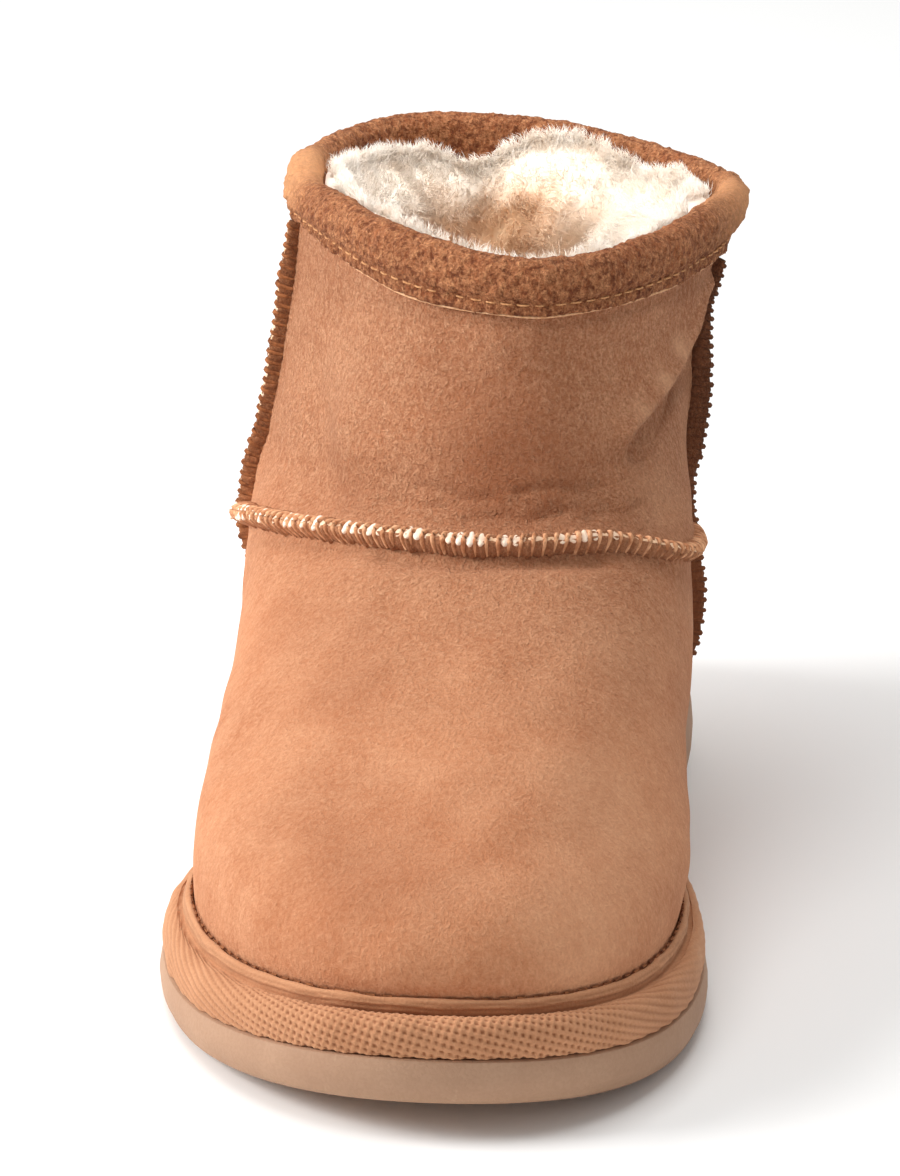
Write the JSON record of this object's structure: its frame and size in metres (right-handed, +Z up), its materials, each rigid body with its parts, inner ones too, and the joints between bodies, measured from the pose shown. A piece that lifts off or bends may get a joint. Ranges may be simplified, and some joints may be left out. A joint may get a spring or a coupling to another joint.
{
  "type": "sheepskin boot",
  "caption": "Low ankle boot in suede with a fleece lining, a rolled collar binding, raised outside seams, a taped welt and a flat outsole.",
  "frame": {"origin": "on the floor plane, under the middle of the boot's bounding box", "axes": "+X towards the inner side of the foot, +Y from the toe towards the heel, +Z up"},
  "size_m": [0.1108, 0.2658, 0.1365],
  "materials": {
    "outsole": "matt beige foam",
    "tape": "ribbed twill tape",
    "footbed": "short fleece",
    "suede": "brushed suede, chestnut tan",
    "fleece": "deep cream sheep's wool",
    "binding": "rough-napped suede, darker tan",
    "seam": "raw cut edges overlocked with cream thread"
  },
  "bodies": {
    "root": {"outsole": "outsole", "welt": "tape", "insole": "footbed", "upper": "suede", "fleece": "fleece", "collar_binding": "binding", "seam_instep": "seam", "seam_outer": "seam", "seam_inner": "seam"}
  },
  "joints": []
}
